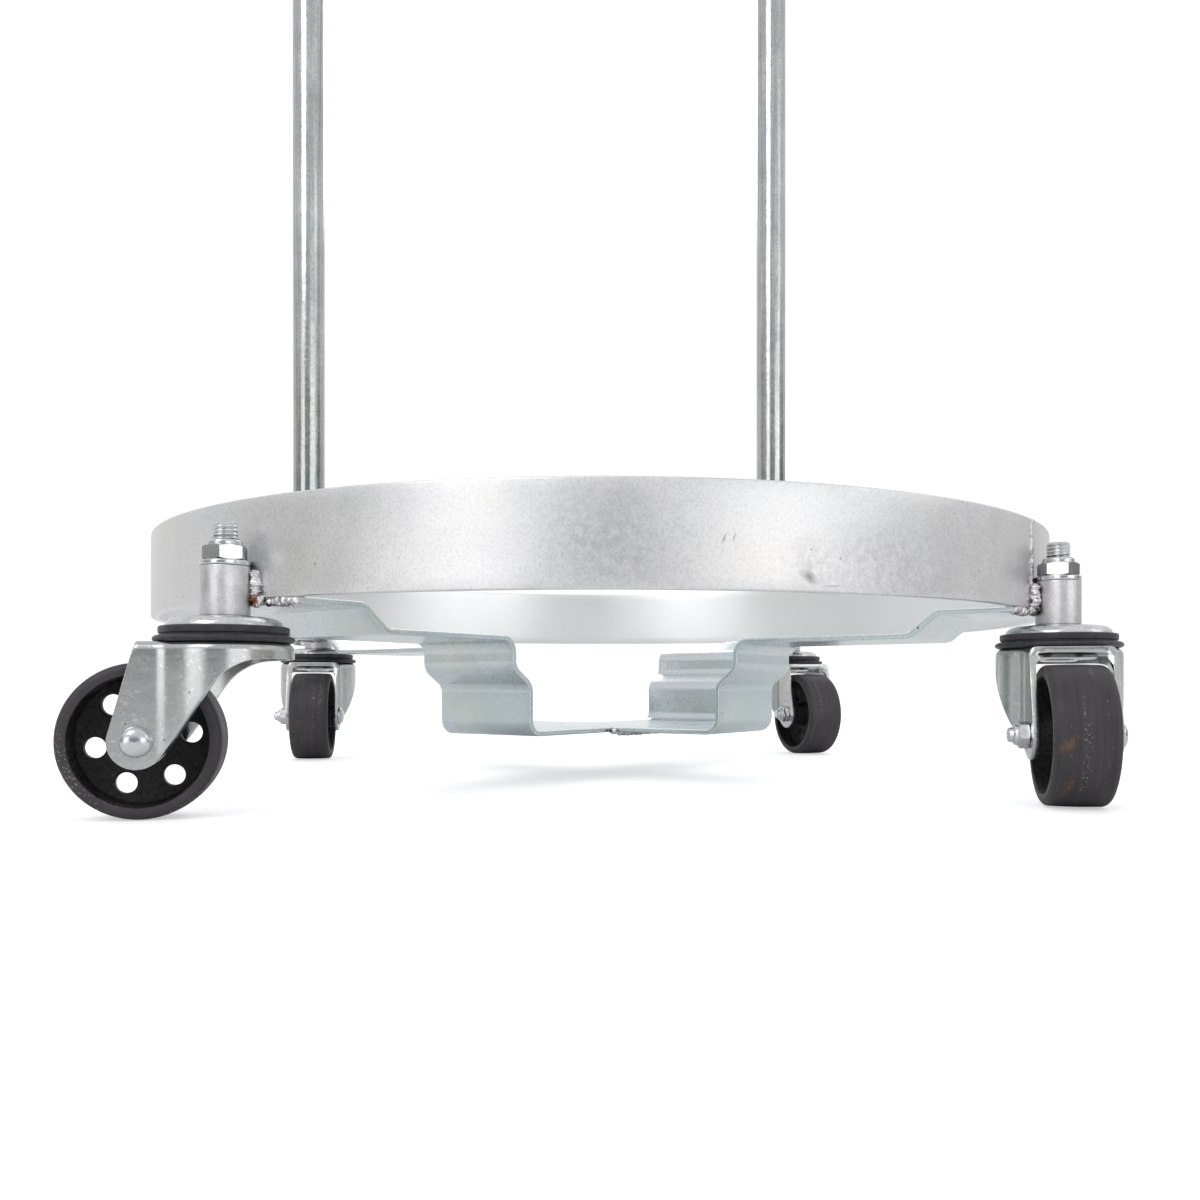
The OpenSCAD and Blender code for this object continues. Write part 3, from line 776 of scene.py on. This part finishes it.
def ring_welds():
    """Beads at the bosses, under the strap ends, at the crossing and along the ring's seam."""
    boss, ends = [], []
    for k, corner in enumerate(CORNERS):
        m = stem_place(corner)
        x = RING_R - STEM_CIRCLE + 1.4
        for s in (-1, 1):
            bead = weld_bead((x, s * 8.9, 0.5), (x, s * 8.9, 10.5), 3.9, seed=k * 5 + s)
            boss.append(placed(bead, m))
            low = weld_bead((x + 0.4, s * 8.4, -1.5), (x - 0.8, s * 12.5, -1.0), 2.6, seed=k * 3 + s)
            boss.append(placed(low, m))
            e = STRAP_END - STEM_CIRCLE
            run = weld_bead((e + 1.2, s * 17, -2.0), (e - 0.4, s * 35, -2.0), 2.3, ripple=2.3, seed=k * 7 + s)
            ends.append(placed(run, m))
            for _ in range(7):
                y = s * rng.uniform(14, 38)
                wall = math.sqrt(RING_R ** 2 - y ** 2) - STEM_CIRCLE
                drop = spatter(wall, y, rng.uniform(0.5, 5.5) ** 1.2, rng.uniform(0.25, 0.6))
                ends.append(placed(drop, m))
    bead_piece("boss_weld_beads", "boss_welds", *boss)
    bead_piece("strap_end_weld_beads", "strap_end_welds", *ends)

    cross = []
    for k, deg in enumerate((135, 315)):
        turn = about_z(deg)
        h = STRAP_W / 2
        under = -RECESS - STRAP_T - 0.4
        lump_z = -RECESS - 2.3
        cross.append(turned(weld_bead((h, 8 - h, under), (h, h - 8, under), 2.3, seed=k * 4), turn))
        for s in (-1, 1):
            lump = weld_bead((h + 0.8, s * (h + 0.8), lump_z), (h + 3, s * (h + 3), lump_z), 2.1,
                             seed=k * 4 + s)
            cross.append(turned(lump, turn))
    bead_piece("crossing_weld_beads", "crossing_welds", *cross)

    a = math.radians(SEAM_DEG)
    x, y = (RING_R - 0.7) * math.cos(a), (RING_R - 0.7) * math.sin(a)
    seam = weld_bead((x, y, 14.5), (x, y, RING_H - 2.0), 1.9, seed=3)
    bead_piece("ring_seam_bead", "ring_seam_weld", seam)


# ---- handle ----

def circle(r, sides):
    angles = [2 * math.pi * k / sides for k in range(sides)]
    return [(r * math.cos(w), r * math.sin(w)) for w in angles]


def handle():
    """One bent tube: two legs that lean back above the drum, and the grip between them."""
    half = (LEG_X[1] - LEG_X[0]) / 2
    mid = (LEG_X[1] + LEG_X[0]) / 2
    up = Vector((0, math.sin(HANDLE_LEAN), math.cos(HANDLE_LEAN)))
    side = [Vector((half, LEG_Y, LEG_FOOT))]
    side += [Vector((half, LEG_Y, z)) for z in range(100, int(HANDLE_BEND_Z), 100)]
    for k in range(13):
        w = HANDLE_LEAN * k / 12
        side.append(Vector((half, LEG_Y + LEAN_R * (1 - math.cos(w)), HANDLE_BEND_Z + LEAN_R * math.sin(w))))
    top = side[-1]
    for k in range(17):
        w = math.pi / 2 * k / 16
        offset = Vector((-CORNER_R * (1 - math.cos(w)), 0, 0)) + up * (HANDLE_UPPER + CORNER_R * math.sin(w))
        side.append(top + offset)
    path = side + [Vector((-p.x, p.y, p.z)) for p in reversed(side)]
    path = [p + Vector((mid, 0, 0)) for p in path]
    frames = []
    normal = Vector((0, 1, 0))
    for k, p in enumerate(path):
        d = (path[min(k + 1, len(path) - 1)] - path[max(k - 1, 0)]).normalized()
        normal = (normal - d * normal.dot(d)).normalized()
        frames.append((normal.copy(), d.cross(normal)))
    sides = 48
    outer = sweep(path, circle(HANDLE_R, sides), frames)
    inner = sweep(path, circle(HANDLE_R - HANDLE_T, sides), frames)
    verts, faces = join(outer, inner)
    count = len(path) * sides
    for start in (0, count - sides):
        for i in range(sides):
            a, b = start + i, start + (i + 1) % sides
            faces.append((a, b, count + b, count + a))
    piece("handle_tube", verts, faces, "galvanised_tube", "frame",
          "handle_left_leg", "handle_right_leg", "handle_grip")

    beads = []
    for k, (x, s) in enumerate(zip(LEG_X, (-1, 1))):
        boss = Vector((s * STEM_CIRCLE * math.cos(math.pi / 4), STEM_CIRCLE * math.sin(math.pi / 4)))
        u = (Vector((x, LEG_Y)) - boss).normalized()
        touch = boss + u * (BOSS_R + 0.4)
        for t in (-1, 1):
            p = touch + Vector((-u.y, u.x)) * 7 * t
            beads.append(weld_bead((p.x, p.y, -2), (p.x, p.y, 12.5), 3.5, seed=k * 2 + t))
    bead_piece("handle_weld_beads", "handle_welds", *beads)


# ---- stems and their fastenings ----

def tube_profile(r_in, r_out, z, h, edge, steps):
    """Half section of a ring with rounded edges."""
    return rounded([(r_in, z), (r_out, z), (r_out, z + h), (r_in, z + h)], edge, steps)


def stem_parts():
    """On each stem: boss, washer, lock nut with its insert, dished cap and the two races."""
    kinds = ("bosses", "stems", "washers", "nuts", "inserts", "caps", "thrust", "lower")
    parts = {kind: [] for kind in kinds}
    washer_z = BOSS_Z + BOSS_H
    nut_z = washer_z + WASHER_T
    race_z = CROWN_Z + GAP
    low_z = CROWN_Z - FORK_T - GAP
    foot_z = low_z - RACE_H
    insert_r = STEM_R + 1.2
    boss = tube_profile(STEM_R + 0.3, BOSS_R, BOSS_Z, BOSS_H, 0.8, 3)
    washer = tube_profile(STEM_R + 0.2, BOSS_R, washer_z, WASHER_T, 0.5, 3)
    insert = tube_profile(STEM_R, insert_r, nut_z + NUT_H, COLLAR_H - 0.4, 0.3, 2)
    thrust = tube_profile(KING_R, RACE_R, race_z, CAP_RIM_Z - race_z, 0.6, 2)
    king = [(0.01, foot_z - 1), (8.6, foot_z - 1), (9.8, foot_z - 0.5), (10, foot_z), (KING_R, foot_z),
            (KING_R, BOSS_Z), (0.01, BOSS_Z)]
    cap = [(KING_R, -9.5), (18, -9.6), (22.5, -10.0), (25.2, -10.8), (27, -12.2), (27.8, -13.8),
           (CAP_R, -15.0), (CAP_R, CAP_RIM_Z), (25, CAP_RIM_Z), (22, -14), (KING_R, -13)]
    lower = [(KING_R, low_z), (19.6, low_z), (RACE_R, low_z - 0.9), (20.3, low_z - 2.0), (18.5, low_z - 2.8),
             (15, foot_z), (KING_R, foot_z)]
    nut_turns = (12, 40, 5, 25)
    for k, corner in enumerate(CORNERS):
        m = stem_place(corner)
        parts["bosses"].append(placed(lathe(boss, 64), m))
        parts["washers"].append(placed(lathe(washer, 64), m))
        parts["stems"].append(placed(lathe(king, 48, closed=False), m))
        parts["stems"].append(placed(thread(STEM_R, BOSS_Z, STEM_TOP), m))
        nut = turned(hex_nut(NUT_AF, NUT_H, COLLAR_H, STEM_R + 0.02, insert_r), about_z(nut_turns[k]))
        parts["nuts"].append(placed(shifted(nut, dz=nut_z), m))
        parts["inserts"].append(placed(lathe(insert, 48), m))
        parts["caps"].append(placed(lathe(cap, 96), m))
        parts["thrust"].append(placed(lathe(thrust, 64), m))
        parts["lower"].append(placed(lathe(lower, 64), m))
    made = (("bosses", "bosses", "ring_zinc", "stem_bosses"),
            ("stems", "threaded_stems", "fastener_zinc", "caster_stems"),
            ("washers", "washers", "fastener_zinc", "stem_washers"),
            ("nuts", "lock_nuts", "fastener_zinc", "stem_nuts"),
            ("inserts", "nut_inserts", "nylon", "nylon_inserts"),
            ("caps", "bearing_caps", "caster_zinc", "race_caps"),
            ("thrust", "upper_races", "caster_zinc", "thrust_races"),
            ("lower", "lower_race_cups", "caster_zinc", "lower_races"))
    for key, name, slot, node in made:
        verts, faces = join(*parts[key])
        surface = {"bosses": BOSS, "caps": MATERIALS["fastener_zinc"]}.get(key)
        piece(name, verts, faces, slot, "frame", node, merge=False, material=surface)


# ---- caster ----

def fork_outline():
    """Half the crown's outline from above, from the front of the crown to the leg's rear edge."""
    fillet = 14.0
    cx = math.sqrt((CROWN_R + fillet) ** 2 - (FORK_HALF + fillet) ** 2)
    cy = FORK_HALF + fillet
    join_a = math.atan2(cy, cx)
    pts = [(CROWN_R * math.cos(a), CROWN_R * math.sin(a))
           for a in (math.pi + (join_a - math.pi) * k / 40 for k in range(41))]
    pts += [(cx + fillet * math.cos(a), cy + fillet * math.sin(a))
            for a in (join_a - math.pi + (math.pi / 2 - join_a) * k / 8 for k in range(1, 9))]
    last = TRAIL + LEG_END_R - 0.05
    straight = [cx + (LEG_TOP_X - cx) * k / 5 for k in range(1, 6)]
    straight += [LEG_TOP_X + (last - LEG_TOP_X) * math.sin(math.pi / 2 * k / 14) for k in range(1, 15)]
    return pts + [(x, FORK_HALF) for x in straight]


def fork_bottom(x):
    """Height of the fork's lower edge at a distance x from the stem towards the axle."""
    knots = [(-34, -8.0), (-20, -8.0), (-13, -9.0), (-6.5, -12.0), (-1, -16.0), (4, -22.5), (15.4, -38.8),
             (LEG_FRONT_X, AXLE_Z - 8 - CROWN_Z)]
    if x > LEG_FRONT_X:
        return AXLE_Z - math.sqrt(max(0.0, LEG_END_R ** 2 - (x - TRAIL) ** 2))
    for _ in range(3):
        knots = [knots[0]] + [p for a, b in zip(knots, knots[1:])
                              for p in ((0.75 * a[0] + 0.25 * b[0], 0.75 * a[1] + 0.25 * b[1]),
                                        (0.25 * a[0] + 0.75 * b[0], 0.25 * a[1] + 0.75 * b[1]))] + [knots[-1]]
    for a, b in zip(knots, knots[1:]):
        if a[0] <= x <= b[0]:
            return CROWN_Z + a[1] + (b[1] - a[1]) * (x - a[0]) / (b[0] - a[0])
    return CROWN_Z + knots[0][1]


def fork_top(x):
    """Height of the rear edge of a leg behind the crown plate."""
    if x <= LEG_TOP_X:
        return None
    side_x, side_z = LEG_SIDE
    slanted = CROWN_Z - (x - LEG_TOP_X) * (CROWN_Z - side_z) / (side_x - LEG_TOP_X)
    arc = AXLE_Z + math.sqrt(max(0.0, LEG_END_R ** 2 - (x - TRAIL) ** 2))
    return max(slanted, arc) if x < side_x - 0.4 else arc


def fork_shape():
    """The outer skin of a pressed fork: crown plate, rounded shoulder, skirt and two legs."""
    half = fork_outline()
    loop = [(x, y) for x, y in reversed(half)] + [(x, -y) for x, y in half[1:]]
    round_r, round_steps, rows = 4.0, 5, 16
    verts, faces = [], []
    columns = []
    for k, (x, y) in enumerate(loop):
        a = loop[max(0, k - 1)]
        b = loop[min(len(loop) - 1, k + 1)]
        d = Vector((b[0] - a[0], b[1] - a[1])).normalized()
        inward = Vector((-d.y, d.x))
        if inward.dot(Vector((10 - x, -y))) < 0:
            inward = -inward
        top = fork_top(x)
        bottom = fork_bottom(x)
        column = []
        for i in range(round_steps + 1):
            w = math.pi / 2 * i / round_steps
            if top is None:
                inset, z = round_r * (1 - math.sin(w)), CROWN_Z - round_r * (1 - math.cos(w))
            else:
                inset, z = 0.0, max(top, bottom + 0.02)
            column.append((x + inward.x * inset, y + inward.y * inset, z))
        start = column[-1][2]
        for i in range(1, rows + 1):
            column.append((x, y, start + (bottom - start) * i / rows))
        columns.append([len(verts) + i for i in range(len(column))])
        verts += column
    for p, q in zip(columns, columns[1:]):
        for i in range(len(p) - 1):
            faces.append((p[i], q[i], q[i + 1], p[i + 1]))
    plate = [c[0] for c, (x, y) in zip(columns, loop) if x <= LEG_TOP_X + 0.01]
    first, last = Vector(verts[plate[-1]]), Vector(verts[plate[0]])
    rear = []
    for k in range(1, 8):
        rear.append(len(verts))
        verts.append(tuple(first + (last - first) * k / 8))
    rim = plate + rear
    centre = Vector((0, 0, CROWN_Z))
    previous = rim
    for step in range(1, 6):
        t = step / 5
        ring = []
        for i in rim:
            p = Vector(verts[i])
            hole = centre + (p - centre).normalized() * (KING_R + 0.05)
            ring.append(len(verts))
            verts.append(tuple(p.lerp(hole, t)))
        for i in range(len(rim)):
            j = (i + 1) % len(rim)
            faces.append((previous[i], previous[j], ring[j], ring[i]))
        previous = ring
    return verts, faces


def fork(corner):
    """The skin, thickened inwards, with its cut edges rounded."""
    verts, faces = fork_shape()
    obj = piece("pressed_fork_" + corner, verts, faces, "caster_zinc", "caster_" + corner, "fork_" + corner,
                place=caster_place(corner), smooth_deg=50)
    shell = obj.modifiers.new("thickness", "SOLIDIFY")
    shell.thickness = FORK_T * MM
    shell.offset = -1
    shell.use_even_offset = True
    edge = obj.modifiers.new("edges", "BEVEL")
    edge.width = 0.5 * MM
    edge.segments = 2
    edge.limit_method = "ANGLE"
    edge.angle_limit = math.radians(60)
    edge.use_clamp_overlap = True


def seal(corner):
    """Rubber ring on the crown with a flared lip and a groove above it."""
    inner = CAP_R + 0.4
    z = CROWN_Z
    profile = [(inner, z + 0.05), (31.6, z + 0.05), (32.7, z + 0.5), (33.25, z + 1.2), (33.35, z + 1.9),
               (33.0, z + 2.6), (32.2, z + 3.2), (31.0, z + 3.6), (30.1, z + 3.8), (30.0, z + 4.2),
               (30.6, z + 4.5), (30.75, z + 4.9), (30.75, z + 7.2), (30.45, z + 7.7), (29.9, z + 7.9),
               (inner, z + 7.9)]
    verts, faces = lathe(profile, 96)
    piece("seal_" + corner, verts, faces, "seal_rubber", "caster_" + corner, "dust_seal_" + corner,
          place=caster_place(corner), smooth_deg=30)


def wheel(corner):
    """Cast wheel: machined rim with rounded edges, thin web with six round holes, and a hub."""
    edge_r, crown = 3, 0.5
    edge = []
    for k in range(7):
        w = math.pi / 2 * k / 6
        edge.append((WHEEL_R - edge_r + edge_r * math.sin(w), WHEEL_HALF - edge_r + edge_r * math.cos(w)))
    hub = [(12, 3.0), (11.0, 3.6), (10.3, 5.0), (10.0, 7.5), (9.9, 17.4), (9.3, 18.0),
           (SLEEVE_R + 0.05, 18.0)]
    inner = [(31.6, WHEEL_HALF - 0.1), (31.2, WHEEL_HALF - 0.6), (31.0, WHEEL_HALF - 4), (30.6, 6.0),
             (30.0, 4.2), (28.6, 3.2), (27, 3.0), (19.5, 2.9)]
    upper = [(WHEEL_R, 0.0), (WHEEL_R, 4.0), (WHEEL_R, 8.0)] + edge[::-1] + [(32.6, WHEEL_HALF)] + inner + hub
    upper = [(r - crown * (y / WHEEL_HALF) ** 2 if r > WHEEL_R - edge_r else r, y) for r, y in upper]
    profile = upper + [(r, -y) for r, y in reversed(upper)][:-1]
    verts, faces = lathe(profile, 128, along="Y")
    obj = piece("iron_wheel_" + corner, verts, faces, "wheel_iron", "wheel_" + corner, "wheel_" + corner,
                place=axle_place(corner), smooth_deg=30, material=TREADS[corner])
    bell = [(HOLE_R, 1.5), (HOLE_R + 0.2, 2.3), (HOLE_R + 1.2, 3.2), (HOLE_R + 1.6, 5), (0.01, 5)]
    drill = lathe([(r, -y) for r, y in reversed(bell)] + bell, 40, closed=False, along="Y")
    drills = []
    for k in range(6):
        w = math.radians(60 * k + WHEEL_TURN[corner])
        drills.append(shifted(drill, dx=HOLE_CIRCLE * math.cos(w), dz=HOLE_CIRCLE * math.sin(w)))
    cut_verts, cut_faces = join(*drills)
    mesh = bpy.data.meshes.new("holes")
    mesh.from_pydata([Vector(v) * MM for v in cut_verts], [], cut_faces)
    bm = bmesh.new()
    bm.from_mesh(mesh)
    bmesh.ops.remove_doubles(bm, verts=bm.verts, dist=0.03 * MM)
    bmesh.ops.recalc_face_normals(bm, faces=bm.faces)
    bm.to_mesh(mesh)
    bm.free()
    cutter = bpy.data.objects.new("holes", mesh)
    bpy.context.scene.collection.objects.link(cutter)
    cutter.matrix_world = axle_place(corner)
    cut = obj.modifiers.new("holes", "BOOLEAN")
    cut.object = cutter
    cut.solver = "EXACT"
    bpy.context.view_layer.update()
    done = bpy.data.meshes.new_from_object(obj.evaluated_get(bpy.context.evaluated_depsgraph_get()))
    obj.modifiers.clear()
    bpy.data.objects.remove(cutter)
    obj.data = done
    done.materials.clear()
    done.materials.append(TREADS[corner])
    done.materials.append(CAST)
    for f in done.polygons:
        c = f.center / MM
        radius = math.hypot(c.x, c.z)
        f.material_index = 0 if radius > RIM_R or abs(c.y) > 17.7 else 1
        f.use_smooth = True
    done.set_sharp_from_angle(angle=math.radians(30))


def axle(corner):
    """Bolt with a low dome head on one side and a lock nut on the other, and the wheel's sleeve."""
    body = "caster_" + corner
    dome = [(0.01, 4.5), (2.5, 4.35), (4.6, 3.85), (6.2, 2.9), (7.1, 1.7), (7.5, 0.6), (7.5, 0.0),
            (AXLE_R, 0.0)]
    tip = [(AXLE_R, 0.0), (AXLE_R, 9.6), (3.7, 10.3), (2.9, 10.8), (0.01, 11.0)]
    bolt = [(r, FORK_HALF + y) for r, y in dome] + [(r, -FORK_HALF - y) for r, y in tip]
    verts, faces = lathe(bolt, 48, closed=False, along="Y")
    piece("axle_bolt_detail_" + corner, verts, faces, "fastener_zinc", body, "axle_bolt_" + corner,
          place=axle_place(corner))
    nut = turned(hex_nut(AXLE_NUT_AF, 5.6, 2.4, AXLE_R + 0.02, AXLE_R + 0.8), about_z(18))
    nut = turned(nut, Matrix.Rotation(math.radians(90), 4, "X"))
    verts, faces = shifted(nut, dy=-FORK_HALF)
    piece("axle_nut_detail_" + corner, verts, faces, "fastener_zinc", body, "axle_nut_" + corner,
          place=axle_place(corner))
    inside = FORK_HALF - FORK_T
    verts, faces = lathe(tube_profile(AXLE_R, SLEEVE_R, -inside, 2 * inside, 0.4, 2), 48, along="Y")
    piece("sleeve_" + corner, verts, faces, "fastener_zinc", body, "axle_sleeve_" + corner,
          place=axle_place(corner))


# ---- floor and light ----

def stage():
    bpy.ops.mesh.primitive_plane_add(size=24, location=(0, 0, FLOOR_Z * MM))
    floor = bpy.context.object
    floor.name = "floor"
    floor.data.materials.append(floor_material())


def softbox(name, place, size, power):
    """A soft light that points at the ring's middle."""
    data = bpy.data.lights.new(name, "AREA")
    data.shape = "RECTANGLE"
    data.size, data.size_y = size
    data.energy = power
    light = bpy.data.objects.new(name, data)
    bpy.context.scene.collection.objects.link(light)
    light.location = place
    light.rotation_mode = "QUATERNION"
    light.rotation_quaternion = (-Vector(place)).to_track_quat("-Z", "Y")


def lights():
    """Room with strip lights to the left and right of a dark gap in front, grey sides and a dim ceiling.
    The camera itself sees plain white."""
    world = bpy.data.worlds.new("studio")
    bpy.context.scene.world = world
    world.use_nodes = True
    s = Nodes(world.node_tree)
    axes = s.node("ShaderNodeSeparateXYZ")
    s.link(s.node("ShaderNodeTexCoord").outputs["Generated"], axes.inputs[0])
    turn = s.calc("ARCTAN2", axes.outputs["X"], s.calc("MULTIPLY", axes.outputs["Y"], -1))
    turn = s.calc("ADD", s.calc("DIVIDE", turn, 2 * math.pi), 0.5)
    # Degrees to the right of the room's front, and the brightness there
    bands = ((-180, 0.50), (-140, 0.44), (-134, 0.38), (-104, 0.38), (-98, (0.20, 0.205, 0.19)),
             (-56, (0.20, 0.205, 0.185)), (-51, 0.98), (-29, 0.98), (-22, (0.15, 0.155, 0.165)),
             (11, (0.15, 0.155, 0.165)), (18, 0.98), (46, 0.98), (53, (0.125, 0.12, 0.115)),
             (88, (0.125, 0.118, 0.112)), (96, 0.32), (130, 0.34), (138, 0.46), (180, 0.50))
    around = s.ramp(turn, *((0.5 + deg / 360, value) for deg, value in bands))
    height = s.ramp(axes.outputs["Z"], (0.20, 0.0), (0.36, 1.0))
    room = s.node("ShaderNodeBackground")
    s.link(s.mix(height, around, (0.42, 0.42, 0.43)), room.inputs["Color"])
    room.inputs["Strength"].default_value = 1.9
    white = s.node("ShaderNodeBackground")
    white.inputs["Color"].default_value = (1, 1, 1, 1)
    white.inputs["Strength"].default_value = 1.05
    pick = s.node("ShaderNodeMixShader")
    s.link(s.node("ShaderNodeLightPath").outputs["Is Camera Ray"], pick.inputs[0])
    s.link(room.outputs[0], pick.inputs[1])
    s.link(white.outputs[0], pick.inputs[2])
    s.link(pick.outputs[0], s.node("ShaderNodeOutputWorld").inputs[0])
    softbox("key", (-1.3, -1.6, 1.7), (1.2, 1.2), 11)
    softbox("fill", (1.9, -1.1, 0.9), (0.9, 1.5), 2)
    softbox("rear", (0.3, 1.9, 1.6), (1.5, 0.8), 8)
    bpy.context.scene.view_settings.view_transform = "Standard"


ring_band()
straps()
ring_welds()
handle()
stem_parts()
for name in CORNERS:
    fork(name)
    seal(name)
    wheel(name)
    axle(name)
stage()
lights()
